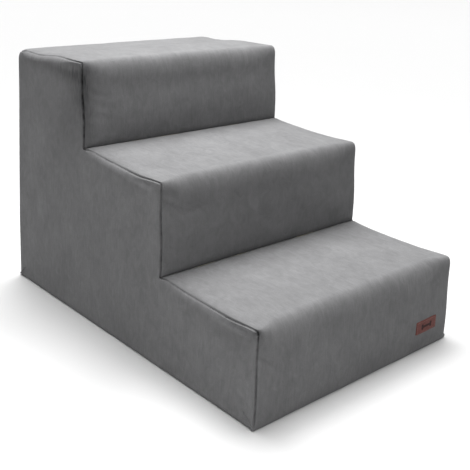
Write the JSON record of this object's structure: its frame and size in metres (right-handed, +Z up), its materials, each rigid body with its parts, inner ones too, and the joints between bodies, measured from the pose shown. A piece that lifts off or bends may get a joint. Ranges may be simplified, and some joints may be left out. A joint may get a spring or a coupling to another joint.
{
  "type": "pet stair",
  "caption": "Foam pet stair in a fitted fabric cover that zips off at the back, with rounded step edges, an anti-slip base and a stitched leather label.",
  "frame": {"origin": "middle of the footprint, on the floor", "axes": "+Y from the lowest step to the back, +X to the right of someone facing the steps, +Z up"},
  "size_m": [0.4, 0.6075, 0.3999],
  "materials": {
    "cover_fabric": "short-pile velour, matt with a soft sheen",
    "base_fabric": "black non-woven cloth with soft PVC dots",
    "foam": "open-cell polyurethane foam",
    "zip_tape": "herringbone-woven polyester tape",
    "zip_coil": "nylon monofilament coil",
    "zip_metal": "nickel-plated zinc",
    "label_leather": "reddish-brown leather with a fine grain",
    "label_thread": "twisted polyester sewing thread",
    "care_label": "white satin ribbon"
  },
  "bodies": {
    "cover_and_core": {"foam_slab_lower": "foam", "foam_slab_middle": "foam", "foam_slab_upper": "foam", "step_panel_lower": "cover_fabric", "step_panel_middle": "cover_fabric", "step_panel_upper": "cover_fabric", "side_panel_left": "cover_fabric", "side_panel_right": "cover_fabric", "back_panel_upper": "cover_fabric", "back_panel_lower": "cover_fabric", "base_panel": "base_fabric", "zip_tape_upper": "zip_tape", "zip_tape_lower": "zip_tape", "zip_coil_upper": "zip_coil", "zip_coil_lower": "zip_coil", "zip_top_stops": "zip_metal", "zip_bottom_stop": "zip_metal", "label_patch": "label_leather", "label_thread": "label_thread", "care_label": "care_label"},
    "zip_slider": {"zip_slider": "zip_metal"},
    "zip_pull": {"zip_pull": "zip_metal"}
  },
  "joints": [
    {"name": "zip_slide", "type": "slide", "parent": "cover_and_core", "child": "zip_slider", "axis": [-1, 0, 0], "range_m": [0, 0.3586]},
    {"name": "pull_hinge", "type": "hinge", "parent": "zip_slider", "child": "zip_pull", "pos_m": [0.1793, 0.3037, 0.055], "axis": [0, 0, -1], "range_deg": [0, 180]}
  ]
}
